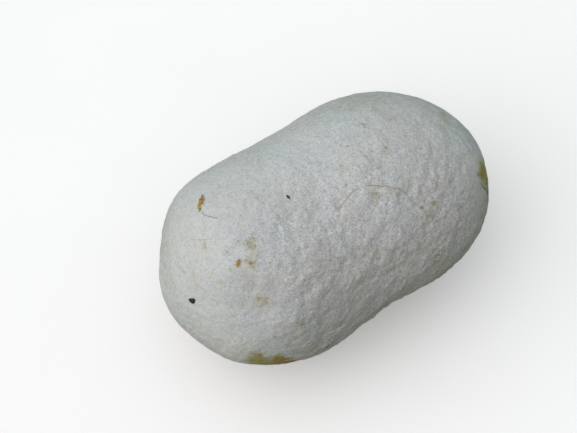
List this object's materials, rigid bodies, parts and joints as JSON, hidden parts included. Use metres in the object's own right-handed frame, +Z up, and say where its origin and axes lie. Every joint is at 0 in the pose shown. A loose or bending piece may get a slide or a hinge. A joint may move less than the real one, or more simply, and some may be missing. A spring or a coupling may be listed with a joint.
{
  "type": "silk cocoon",
  "caption": "White silkworm cocoon, a slightly waisted oval body of felted silk with small stains, lying on its side on small flat spots.",
  "frame": {"origin": "middle of the bounding box at the bottom, on the surface that the cocoon rests on", "axes": "+X along the cocoon's long axis towards its narrower lobe, +Z up, +Y across it"},
  "size_m": [0.0346, 0.021, 0.0205],
  "materials": {
    "silk": "matte felted white silk with a fine crepe grain, faint yellow-brown stains and a few dark specks"
  },
  "bodies": {
    "root": {"cocoon": "silk"}
  },
  "joints": []
}
